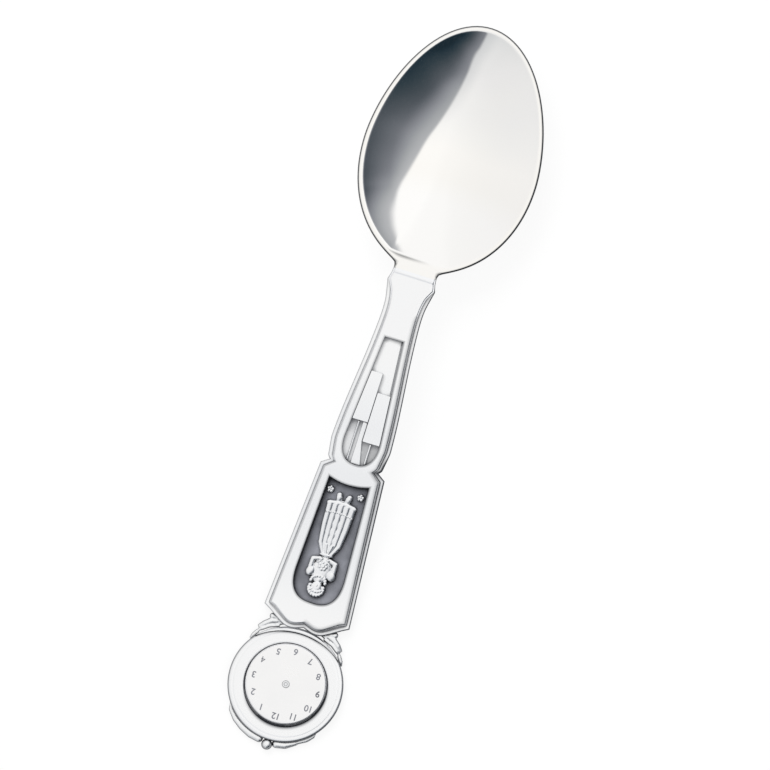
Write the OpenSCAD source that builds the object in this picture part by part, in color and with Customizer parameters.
// Christening spoon whose handle is a longcase clock: dial with crest, case with a relief panel,
// trunk with a window for two weights, and an egg-shaped bowl.
// Frame: +Z up, +Y from the dial to the bowl's tip, +X right, origin under the middle of the spoon.
// Places along the spoon are measured from the dial's centre, and seated() moves them to the origin.

/* [Bowl] */
// Widest line of the bowl to its tip
bowl_tip_len = 27.9; // [22:0.1:34]
// Widest line of the bowl to the joint with the handle
bowl_heel_len = 23.4; // [19:0.1:28]
// Greatest width of the bowl
bowl_w = 35.9; // [28:0.1:46]
// Height of the rim above the table
rim_z = 8.4; // [6:0.1:11]
// Thickness of the bowl at its deepest point
bowl_wall = 1.2; // [0.7:0.1:2]
// Width of the flat lip around the hollow
lip_w = 0.8; // [0.4:0.1:1.5]
// Height of the lip's outer edge
lip_t = 0.9; // [0.6:0.1:1.4]
// Solid neck between the joint and the hollow
neck_land = 2.5; // [1.5:0.1:4]
// Width at the joint between bowl and handle
neck_w = 8.9; // [6:0.1:11]
// Widening of the neck where it enters the bowl
neck_flare = 0.9; // [0.2:0.1:1.5]
// Length over which the neck widens
neck_flare_len = 2.2; // [1:0.1:4]
// Length of the tang inside the handle
tang_len = 7; // [4:0.5:10]
// Width of the tang
tang_w = 4.6; // [3:0.1:6]
// Thickness of the tang
tang_t = 0.8; // [0.4:0.1:1]
// Gap around the tang
tang_gap = 0.05; // [0.02:0.01:0.1]

/* [Handle] */
// Dial centre to the case's lower corners
dial_to_case = 14.3; // [13.5:0.1:17]
// Length of the case between its lower and upper corners
case_len = 30.4; // [28:0.1:36]
// Width of the case at its lower corners
case_w = 17.8; // [15:0.1:20]
// Width of the case at its upper corners
case_top_w = 13.4; // [12.8:0.1:16]
// Depth of the bracket-shaped edge over the dial
bracket_drop = 3.1; // [1.5:0.1:3.5]
// Length of the sloping shoulders between case and stem
shoulder_len = 1.1; // [0.6:0.1:2]
// Length of the stem from the shoulders to the bowl joint
stem_len = 40.3; // [38:0.1:48]
// Greatest width of the stem
stem_w = 12.3; // [11.5:0.1:12.6]
// Thickness of the back plate behind the case
case_back_t = 2; // [1.7:0.1:2.6]
// Thickness of the back plate behind the stem
stem_back_t = 1.5; // [1.4:0.1:2]
// Length over which the back plate thins from case to stem
thinning_len = 8; // [4:0.5:14]
// Thickness of the pierced front plate
front_t = 1.1; // [0.8:0.1:1.6]
// Width of the back plate's border outside the front plate
border_w = 0.75; // [0.3:0.05:1]
// Height of the handle's underside at its highest point
crown_rise = 8; // [5:0.1:11]
// Highest point of the underside as a share of the way from case to joint
crown_share = 0.74; // [0.6:0.01:0.85]
// Height of the handle's underside at the bowl joint
joint_rise = 7; // [5:0.1:9]

/* [Case panel] */
// Length of the opening in the case
panel_len = 25.4; // [22:0.1:26]
// Width of the opening where it is widest
panel_w = 10.1; // [8:0.1:11]
// Width of the opening at its square end
panel_top_w = 8.3; // [7:0.1:9]
// Length of the opening's round end
panel_round_len = 6; // [4:0.1:8]
// Dip of the square end's curved edge
panel_dip = 0.7; // [0.2:0.1:1.5]
// Space between the case's lower corners and the opening
panel_margin = 2.8; // [2:0.1:3.4]
// Thickness of the darkened insert
insert_t = 0.3; // [0.2:0.05:0.5]
// Gap between the insert and the opening
insert_gap = 0.04; // [0.02:0.01:0.1]
// Height of the relief figure
relief_t = 1; // [0.7:0.1:1.3]
// Length of the relief figure from crown to toes
figure_len = 21.6; // [18:0.1:22]
// Width of the gown at its hem
gown_w = 6.2; // [4.6:0.1:6.6]
// Radius of the rosettes beside the feet
rosette_r = 0.8; // [0.6:0.05:0.85]
// Height of the rosettes
rosette_t = 0.5; // [0.3:0.05:0.7]

/* [Window] */
// Length of the window in the stem
window_len = 26.2; // [24:0.1:28]
// Width of the window where it is widest
window_w = 7.3; // [6.4:0.1:7.6]
// Width of the window at its square end
window_top_w = 3.8; // [3:0.1:4.4]
// Length of the window's round end
window_round_len = 4.9; // [3:0.1:6]
// Space between the shoulders and the window's round end
window_margin = 0.3; // [0.2:0.05:0.8]
// Length of each weight
weight_len = 10.2; // [8:0.1:12]
// Height of the weights above the window's floor
weight_t = 1.15; // [0.7:0.05:1.5]
// Window's round end to the lower face of the left weight
left_weight_at = 8.8; // [7.5:0.1:11]
// Window's round end to the lower face of the right weight
right_weight_at = 4.9; // [4:0.1:7]
// Gap between a weight and what stands beside it
weight_gap = 0.12; // [0.05:0.01:0.2]
// Width of the weight lines
line_w = 0.4; // [0.25:0.05:0.5]
// Height of the weight lines
line_t = 0.5; // [0.3:0.05:0.7]
// Thickness of the pendulum's strip
pendulum_t = 0.35; // [0.2:0.05:0.6]
// Width of the pendulum's strip at its narrow end
pendulum_w = 0.9; // [0.6:0.1:1.2]
// Width of the pendulum's strip at its wide end
pendulum_end_w = 2; // [1.2:0.1:2.1]

/* [Dial] */
// Radius of the dial's base and ring
dial_r = 11.6; // [11.2:0.1:12.2]
// Thickness of the dial's base
dial_base_t = 1.2; // [0.9:0.1:1.4]
// Height of the ring above the base
ring_t = 0.7; // [0.4:0.1:0.75]
// Width of the ring's sloping edge
ring_slope_w = 1; // [0.4:0.1:1.5]
// Depth of the ring's sloping edge
ring_slope_t = 0.4; // [0.2:0.05:0.45]
// Radius of the raised dial plate
plate_r = 8.2; // [7:0.1:8.8]
// Height of the dial plate above the base
plate_t = 1.4; // [1:0.1:2]
// Gap between the dial plate and the ring
plate_gap = 0.15; // [0.08:0.01:0.3]
// Radius of the centre pin's head
pin_r = 0.75; // [0.6:0.05:1]
// Height of the centre pin's head
pin_t = 0.2; // [0.1:0.05:0.4]
// Radius of the centre pin's shank
shank_r = 0.4; // [0.3:0.05:0.5]
// Running gap around the centre pin's shank
shank_gap = 0.03; // [0.02:0.01:0.05]
// Inner radius of the hood moulding over the dial
hood_in_r = 10.45; // [9.8:0.05:10.8]
// Angle above the cross line at which the hood moulding ends
hood_end_angle = 40; // [30:1:60]
// Height of the hood moulding above the base
hood_t = 1.1; // [0.8:0.1:1.5]

/* [Crest] */
// Radius of the bead at the handle's end
bead_r = 1.1; // [0.8:0.1:1.4]
// Distance that the bead stands out past the dial
bead_reach = 2; // [1.6:0.1:2.1]
// Height of the bead's round top above the table
bead_rise = 1.9; // [1.6:0.1:2.4]
// Thickness of the scrolls beside the case
scroll_t = 1.7; // [1.2:0.1:2]
// Thickness of the leaves beside the bead
leaf_t = 1.5; // [1.2:0.1:1.9]

/* [Hidden] */

$fn = 96;
relief_sides = 24;
overrun = 1;
probe = 0.5;
slab_steps = 26;
curve_steps = 3;

silver = "#e9eaeb";
polished_silver = "#f2f3f4";
dark_silver = "#75787f";

// Share of the panel between its round end and the figure
figure_margin_share = 0.055;

// Stations along the spoon, from the dial's centre
case_top_at = dial_to_case + case_len;
stem_at = case_top_at + shoulder_len;
joint_at = stem_at + stem_len;
widest_at = joint_at + bowl_heel_len;
tip_at = widest_at + bowl_tip_len;
crown_at = dial_to_case + crown_share * (joint_at - dial_to_case);
bead_at = dial_r + bead_reach - bead_r;
middle_at = (tip_at - dial_r - bead_reach) / 2;
window_at = stem_at + window_margin;
window_end_at = window_at + window_len;
window_widest_at = window_at + window_round_len;
panel_at = dial_to_case + panel_margin;
panel_widest_at = panel_at + panel_round_len;
panel_end_at = panel_at + panel_len;
figure_at = panel_at + figure_margin_share * panel_len;
hood_shift = (dial_r * dial_r - hood_in_r * hood_in_r) / (2 * (hood_in_r - dial_r * sin(hood_end_angle)));
slab_from = -dial_r - bead_reach - overrun;
slab_to = joint_at + overrun;
slab_w = bowl_w + case_w;
tall = crown_rise + case_back_t + front_t + relief_t + overrun;

// Powers that bend the bowl's outlines and its section
tip_power = 1.75;
heel_power = 2.1;
hollow_heel_power = 2.4;
neck_power = 4;
depth_power = 2.2;
rim_rise_power = 3;
neck_depth_power = 6;
heel_step_power = 1.6;
// Powers of the openings' round ends
panel_round_power = 2.6;
window_round_power = 2.4;
// Share of the heel that the rim's oval takes before the neck, and how blunt the hollow ends
heel_oval_share = 0.96;
hollow_blunt_share = 0.985;
// Share of the bowl's outside at which the neck has run out into the round back
neck_fade_share = 0.45;
bowl_side_steps = 30;
bowl_rings = 10;

// Outline of the stem's side: share of its length from the shoulders, share of its half width
stem_shares = [
    [0, 0.83], [0.015, 0.915], [0.042, 0.945], [0.092, 0.99], [0.129, 1], [0.253, 0.95],
    [0.402, 0.857], [0.551, 0.758], [0.675, 0.693], [0.774, 0.661], [0.836, 0.677],
    [0.886, 0.734], [0.938, 0.807]
];
// Rounded end of the stem: share of its length, share of the neck's half width
stem_end_shares = [[0.955, 1.07], [0.973, 1.025], [1, 1]];
// Lower edge of the case: share of its half width, share of the bracket's depth
bracket_shares = [
    [0, 0.77], [0.1, 0.88], [0.22, 0.98], [0.34, 1], [0.45, 0.93], [0.56, 0.77],
    [0.7, 0.52], [0.84, 0.26]
];
// Shares of the stem's length between which its border runs out towards the neck
border_fade_shares = [0.8, 0.93];
// How far each corner of the front plate draws in, as shares of the border
corner_shares = [0.6, 0.6, 0.3];

// Scroll beside the case: places as shares of the dial's radius
scroll_shares = [
    [0.62, 1.22], [0.62, 1.138], [0.634, 1.06], [0.603, 0.978], [0.69, 0.888], [0.767, 0.836],
    [0.767, 0.759], [0.819, 0.655], [0.828, 0.569], [0.74, 0.5], [0.32, 0.86], [0.32, 1.22]
];
// Leaf of the crest: places as shares of the dial's radius
leaf_shares = [
    [0.8, -0.55], [0.78, -0.67], [0.75, -0.785], [0.62, -0.9], [0.47, -1.01], [0.3, -1.1],
    [0.11, -1.12], [0, -0.9], [0.5, -0.7]
];

// Figure: each dome's place across as a share of the hem's half width, its place along as a share of the
// figure's length, its radius as a share of the hem's half width and its height as a share of the relief
head_shares = [0, 0.075, 0.5, 1];
neck_shares = [0, 0.155, 0.22, 0.8];
shoulder_shares = [0.56, 0.2, 0.22, 0.8];
waist_shares = [0.4, 0.42, 0.22, 0.8];
hem_shares = [0.84, 0.9, 0.22, 0.6];
elbow_shares = [0.82, 0.36, 0.22, 0.7];
hand_shares = [0.14, 0.34, 0.22, 1];
posy_shares = [0, 0.34, 0.3, 1];
foot_shares = [0.3, 0.95, 0.22, 0.5];
rosette_place_shares = [0.62, 0.905];
petals = 5;
petal_share = 0.42;
petal_top_share = 0.3;
petal_ring_share = 0.58;
petal_height_share = 0.8;
heart_share = 0.32;

// Smooth step from 0 to 1
function eased(t) = let (c = min(1, max(0, t))) c * c * (3 - 2 * c);

// Underside of the handle, and the layers that lie on it
function under(y) = y < crown_at
    ? crown_rise * eased((y - dial_to_case) / (crown_at - dial_to_case))
    : crown_rise - (crown_rise - joint_rise) * eased((y - crown_at) / (joint_at - crown_at));
function seat(y) = under(y) + case_back_t
    - (case_back_t - stem_back_t) * eased((y - case_top_at) / thinning_len);
function floor_z(y) = seat(y) + insert_t;
stations = concat(
    [slab_from],
    [for (i = [0 : slab_steps]) dial_to_case + (joint_at - dial_to_case) * i / slab_steps],
    [slab_to]
);
function slope(y) = atan((under(y + probe) - under(y - probe)) / (2 * probe));

// Curve through hand-placed points
function along_curve(p, i, t) = let (
    a = p[max(0, i - 1)],
    b = p[i],
    c = p[i + 1],
    d = p[min(len(p) - 1, i + 2)]
) (2 * b + (c - a) * t + (2 * a - 5 * b + 4 * c - d) * t * t + (3 * b - a - 3 * c + d) * t * t * t) / 2;
function curve(p) = concat(
    [for (i = [0 : len(p) - 2]) for (k = [0 : curve_steps - 1]) along_curve(p, i, k / curve_steps)],
    [p[len(p) - 1]]
);
function mirrored(p) = [for (i = [len(p) - 1 : -1 : 0]) [-p[i][0], p[i][1]]];
function both_sides(p) = concat(p, mirrored(p));

// Round end of an opening, from its middle out to its widest point
function round_end(half_w, length, at, power) = [
    for (a = [90 : -9 : 0]) [half_w * pow(cos(a), 2 / power), at + length * (1 - pow(sin(a), 2 / power))]
];

// Half of the handle's outline drawn in by a border
function border_at(share, border) = border
    * (1 - eased((share - border_fade_shares[0]) / (border_fade_shares[1] - border_fade_shares[0])));
function stem_side(border) = concat(
    [for (s = curve(stem_shares)) [s[0], s[1] * stem_w / 2 - border_at(s[0], border)]],
    [for (s = stem_end_shares) [s[0], s[1] * neck_w / 2 - border_at(s[0], border)]]
);
function handle_side(border) = concat(
    [for (s = bracket_shares) [s[0] * (case_w / 2 - border), dial_to_case - s[1] * bracket_drop + border]],
    [[case_w / 2 - border, dial_to_case + corner_shares[0] * border]],
    [[case_top_w / 2 - border, case_top_at - corner_shares[1] * border]],
    [for (s = stem_side(border))
        let (draw_in = corner_shares[2] * border_at(s[0], border) * (1 - eased(s[0] / stem_shares[1][0])))
        [s[1], stem_at + s[0] * stem_len - draw_in]
    ]
);

module seated() {
    translate([0, -middle_at, 0]) children();
}

// Slab across the spoon between a lower and an upper line, both given as heights at the stations
module slab(lower, upper) {
    last = len(stations) - 1;
    outline = concat(
        [for (i = [0 : last]) [stations[i], lower[i]]],
        [for (i = [last : -1 : 0]) [stations[i], upper[i]]]
    );
    rotate([90, 0, 90]) linear_extrude(height = slab_w, center = true) polygon(outline);
}

// Slab between two heights above the back plate's upper face
module seat_slab(low, high) {
    slab([for (y = stations) seat(y) + low], [for (y = stations) seat(y) + high]);
}

// Piece of even thickness that lies on the back plate, from an outline given as a child
module on_back(thickness) {
    intersection() {
        seat_slab(0, thickness);
        linear_extrude(height = tall) children();
    }
}

module handle_outline(border) {
    polygon(both_sides(handle_side(border)));
}

module panel_outline(gap) {
    square_end = [for (i = [1 : -0.25 : 0]) [
        i * (panel_top_w / 2 - gap),
        panel_end_at - gap - panel_dip * (1 - i * i)
    ]];
    polygon(both_sides(concat(
        round_end(panel_w / 2 - gap, panel_round_len - gap, panel_at + gap, panel_round_power),
        square_end
    )));
}

function window_half_w(y) = let (
    in_round = max(0, window_widest_at - y) / window_round_len,
    past_widest = max(0, y - window_widest_at) / (window_end_at - window_widest_at)
) window_w / 2 * pow(1 - pow(in_round, window_round_power), 1 / window_round_power)
    - (window_w - window_top_w) / 2 * past_widest;

module window_outline() {
    polygon(both_sides(concat(
        round_end(window_w / 2, window_round_len, window_at, window_round_power),
        [[window_top_w / 2, window_end_at]]
    )));
}

// Flattened dome, the unit of the relief work
module dome(r, h) {
    rotate_extrude() polygon(concat([[0, 0]], [for (a = [0 : 15 : 90]) [r * cos(a), h * sin(a)]]));
}

// Bowl: rings of points that follow the rim's outline, outside and inside
function rim_half_w(dy) = let (
    oval = bowl_w / 2 * sqrt(max(0, 1 - pow(dy / (heel_oval_share * bowl_heel_len), heel_power))),
    from_joint = bowl_heel_len - dy,
    neck = neck_w / 2 + neck_flare * eased(from_joint / neck_flare_len)
) pow(pow(oval, neck_power) + pow(neck * dy / bowl_heel_len, neck_power), 1 / neck_power);
function heel_step(a) = 1 - pow(1 - a / 90, heel_step_power);
function rim_point(a) = a >= 0
    ? [bowl_w / 2 * cos(a), bowl_tip_len * pow(sin(a), 2 / tip_power)]
    : let (dy = bowl_heel_len * heel_step(-a)) [rim_half_w(dy), -dy];
function round_point(a, half_w, tip_len, heel_len) = a >= 0
    ? [half_w * cos(a), tip_len * pow(sin(a), 2 / tip_power)]
    : let (s = hollow_blunt_share * heel_step(-a)) [
        half_w * sqrt(1 - pow(s, hollow_heel_power)), -heel_len / hollow_blunt_share * s
    ];
ring_angles = [for (k = [0 : bowl_side_steps]) 90 - 180 * k / bowl_side_steps];
function ring_of(side) = concat(side, [for (k = [bowl_side_steps : -1 : 1]) [-side[k][0], side[k][1]]]);
rim_ring = ring_of([for (a = ring_angles) rim_point(a)]);
hollow_ring = ring_of([for (a = ring_angles)
    round_point(a, bowl_w / 2 - lip_w, bowl_tip_len - lip_w, bowl_heel_len - neck_land)
]);
back_ring = ring_of([for (a = ring_angles) round_point(a, bowl_w / 2, bowl_tip_len, bowl_heel_len)]);
joint_top_z = joint_rise + stem_back_t + front_t;
function heel_share(y) = max(0, -y / bowl_heel_len);
function top_z(y) = rim_z + (joint_top_z - rim_z) * pow(heel_share(y), rim_rise_power);
function edge_z(y) = top_z(y) - lip_t
    - (stem_back_t + front_t - lip_t) * pow(heel_share(y), neck_depth_power);
function outer_level(s) = let (neck = eased((s - neck_fade_share) / (1 - neck_fade_share))) [
    for (i = [0 : len(rim_ring) - 1])
        let (p = neck * rim_ring[i] + (1 - neck) * back_ring[i])
        [s * p[0], widest_at + s * p[1], edge_z(rim_ring[i][1]) * pow(s, depth_power)]
];
function inner_level(s) = [for (p = hollow_ring) [
    s * p[0],
    widest_at + s * p[1],
    bowl_wall + (top_z(p[1]) - bowl_wall) * pow(s, depth_power)
]];

// Side view of the tang, a straight tongue that follows the back plate's upper face
function tang_side(gap) = let (end_at = joint_at - tang_len - gap) [
    [joint_at, seat(joint_at) - tang_t - tang_gap - gap], [joint_at, seat(joint_at) - tang_gap],
    [end_at, seat(end_at) - tang_gap], [end_at, seat(end_at) - tang_t - tang_gap - gap]
];

// Triangles of a band between two loops of four points
function band(p, q) = [for (k = [0 : 3]) for (half = [0, 1])
    let (a = p[k], b = p[(k + 1) % 4], c = q[(k + 1) % 4], d = q[k])
    half == 0 ? [a, b, c] : [a, c, d]
];

module bowl() {
    n = len(rim_ring);
    outer = [for (j = [1 : bowl_rings]) outer_level(j / bowl_rings)];
    lip = [for (p = rim_ring) [p[0], widest_at + p[1], top_z(p[1])]];
    inner = [for (j = [bowl_rings : -1 : 1]) inner_level(j / bowl_rings)];
    levels = concat(outer, [lip], inner);
    poles = [[0, widest_at, 0], [0, widest_at, bowl_wall]];
    t = tang_side(0);
    half_w = tang_w / 2;
    root = [[half_w, t[0]], [half_w, t[1]], [-half_w, t[1]], [-half_w, t[0]]];
    end = [[half_w, t[3]], [half_w, t[2]], [-half_w, t[2]], [-half_w, t[3]]];
    tang = [for (p = concat(root, end)) [p[0], p[1][0], p[1][1]]];
    points = concat([for (level = levels) for (p = level) p], poles, tang);
    under_pole = len(levels) * n;
    top_pole = under_pole + 1;
    last = (len(levels) - 1) * n;
    corner = (bowl_rings - 1) * n + bowl_side_steps;
    walls = [for (j = [0 : len(levels) - 2]) for (i = [0 : n - 1]) for (half = [0, 1])
        let (a = j * n + i, b = j * n + (i + 1) % n)
        if (a != corner) half == 0 ? [a, a + n, b + n] : [a, b + n, b]
    ];
    base = [for (i = [0 : n - 1]) [i, (i + 1) % n, under_pole]];
    well = [for (i = [0 : n - 1]) [last + (i + 1) % n, last + i, top_pole]];
    joint_loop = [corner, corner + n, corner + n + 1, corner + 1];
    root_loop = [for (k = [1 : 4]) top_pole + k];
    end_loop = [for (k = [5 : 8]) top_pole + k];
    cap = [[end_loop[0], end_loop[1], end_loop[2]], [end_loop[0], end_loop[2], end_loop[3]]];
    tongue = concat(band(joint_loop, root_loop), band(root_loop, end_loop), cap);
    color(polished_silver) seated() polyhedron(points, concat(walls, base, well, tongue));
}

// Slot for the tang, open at the joint and under the front plate
module tang_slot() {
    t = tang_side(tang_gap);
    rotate([90, 0, 90]) linear_extrude(height = tang_w + 2 * tang_gap, center = true) polygon([
        t[0] + [overrun, 0], t[1] + [overrun, overrun], t[2] + [0, overrun], t[3]
    ]);
}

module back_plate() {
    color(silver) seated() difference() {
        union() {
            intersection() {
                slab([for (y = stations) under(y)], [for (y = stations) seat(y)]);
                linear_extrude(height = tall) handle_outline(0);
            }
            cylinder(r = dial_r, h = dial_base_t);
        }
        tang_slot();
    }
}

module front_plate() {
    color(silver) seated() on_back(front_t) difference() {
        handle_outline(border_w);
        panel_outline(0);
        window_outline();
    }
}

module panel_insert() {
    color(dark_silver) seated() on_back(insert_t) panel_outline(insert_gap);
}

// Child set on the insert, turned to its slope
module on_insert(x, y) {
    translate([x, y, floor_z(y)]) rotate([slope(y), 0, 0]) children();
}

// Dome of the figure, placed and sized by its shares
module figure_dome(side, shares) {
    on_insert(side * shares[0] * gown_w / 2, figure_at + shares[1] * figure_len)
        dome(shares[2] * gown_w / 2, shares[3] * relief_t, $fn = relief_sides);
}

// Rounded form between a pair of the figure's domes
module figure_limb(side, from_shares, to_shares) {
    hull() {
        figure_dome(side, from_shares);
        figure_dome(side, to_shares);
    }
}

// Rounded form across the figure between two of its stations
module figure_body(from_shares, to_shares) {
    hull() {
        for (side = [-1, 1]) {
            figure_dome(side, from_shares);
            figure_dome(side, to_shares);
        }
    }
}

module relief_figure() {
    color(polished_silver) seated() intersection() {
        seat_slab(insert_t, insert_t + relief_t + overrun);
        union() {
            figure_dome(0, head_shares);
            figure_dome(0, neck_shares);
            figure_dome(0, posy_shares);
            figure_body(shoulder_shares, waist_shares);
            figure_body(waist_shares, hem_shares);
            for (side = [-1, 1]) {
                figure_limb(side, shoulder_shares, elbow_shares);
                figure_limb(side, elbow_shares, hand_shares);
                figure_dome(side, foot_shares);
            }
        }
    }
}

module rosette(side) {
    x = side * rosette_place_shares[0] * panel_w / 2;
    y = panel_at + rosette_place_shares[1] * panel_len;
    color(polished_silver) seated() intersection() {
        seat_slab(insert_t, insert_t + rosette_t + overrun);
        on_insert(x, y) {
            for (i = [0 : petals - 1]) {
                rotate([0, 0, i * 360 / petals]) translate([petal_ring_share * rosette_r, 0, -overrun])
                    cylinder(
                        r1 = petal_share * rosette_r,
                        r2 = petal_top_share * rosette_r,
                        h = overrun + petal_height_share * rosette_t
                    );
            }
            translate([0, 0, -overrun]) cylinder(r = heart_share * rosette_r, h = overrun + rosette_t);
        }
    }
}

module rosette_left() {
    rosette(-1);
}

module rosette_right() {
    rosette(1);
}

// Weight that follows the window's side
module weight(side, at) {
    low = window_at + at;
    high = low + weight_len;
    color(silver) seated() on_back(weight_t) polygon([
        [side * weight_gap, low], [side * (window_half_w(low) - weight_gap), low],
        [side * (window_half_w(high) - weight_gap), high], [side * weight_gap, high]
    ]);
}

module weight_left() {
    weight(-1, left_weight_at);
}

module weight_right() {
    weight(1, right_weight_at);
}

// Line from the window's round end to its weight
module weight_line(side, at) {
    x = side * window_w / 4;
    color(polished_silver) seated() on_back(line_t) intersection() {
        translate([x - line_w / 2, window_at]) square([line_w, at]);
        window_outline();
    }
}

module weight_line_left() {
    weight_line(-1, left_weight_at);
}

module weight_line_right() {
    weight_line(1, right_weight_at);
}

module pendulum_strip() {
    narrow_at = window_at + left_weight_at;
    right_x = -weight_gap;
    color(polished_silver) seated() on_back(pendulum_t) intersection() {
        polygon([
            [right_x - pendulum_w, narrow_at], [right_x, narrow_at],
            [right_x, window_at + right_weight_at], [pendulum_end_w / 2, window_at],
            [-pendulum_end_w / 2, window_at]
        ]);
        window_outline();
    }
}

module dial_ring() {
    in_r = plate_r + plate_gap;
    color(silver) seated() intersection() {
        rotate_extrude() polygon([
            [in_r, dial_base_t], [dial_r, dial_base_t],
            [dial_r, dial_base_t + ring_t - ring_slope_t],
            [dial_r - ring_slope_w, dial_base_t + ring_t], [in_r, dial_base_t + ring_t]
        ]);
        translate([0, -hood_shift, 0]) cylinder(r = hood_in_r + hood_shift, h = tall);
    }
}

module dial_plate() {
    color(polished_silver) seated() difference() {
        translate([0, 0, dial_base_t]) cylinder(r = plate_r, h = plate_t);
        cylinder(r = shank_r + shank_gap, h = tall);
    }
}

module centre_pin() {
    color(silver) seated() {
        translate([0, 0, dial_base_t]) cylinder(r = shank_r, h = plate_t + pin_t);
        translate([0, 0, dial_base_t + plate_t]) cylinder(r = pin_r, h = pin_t);
    }
}

// Crescent between the dial's edge and the wider circle that cuts the ring
module hood_outline() {
    difference() {
        circle(r = dial_r);
        translate([0, -hood_shift]) circle(r = hood_in_r + hood_shift);
        handle_outline(0);
    }
}

module hood_moulding() {
    color(silver) seated() translate([0, 0, dial_base_t]) linear_extrude(height = hood_t) hood_outline();
}

module scroll(side) {
    color(silver) seated() linear_extrude(height = scroll_t) difference() {
        polygon([for (s = scroll_shares) [side * s[0] * dial_r, s[1] * dial_r]]);
        circle(r = dial_r);
        handle_outline(0);
    }
}

module scroll_left() {
    scroll(-1);
}

module scroll_right() {
    scroll(1);
}

module crest_leaf(side) {
    color(silver) seated() linear_extrude(height = leaf_t) difference() {
        polygon([for (s = leaf_shares) [side * s[0] * dial_r, s[1] * dial_r]]);
        circle(r = dial_r);
        translate([0, -bead_at]) circle(r = bead_r);
    }
}

module crest_leaf_left() {
    crest_leaf(-1);
}

module crest_leaf_right() {
    crest_leaf(1);
}

module crest_bead() {
    color(polished_silver) seated() difference() {
        translate([0, -bead_at, 0]) {
            cylinder(r = bead_r, h = bead_rise - bead_r);
            translate([0, 0, bead_rise - bead_r]) intersection() {
                sphere(r = bead_r);
                cylinder(r = 2 * bead_r, h = bead_r);
            }
        }
        cylinder(r = dial_r, h = tall);
    }
}

bowl();
back_plate();
front_plate();
panel_insert();
relief_figure();
rosette_left();
rosette_right();
weight_left();
weight_right();
weight_line_left();
weight_line_right();
pendulum_strip();
dial_ring();
dial_plate();
centre_pin();
hood_moulding();
scroll_left();
scroll_right();
crest_leaf_left();
crest_leaf_right();
crest_bead();
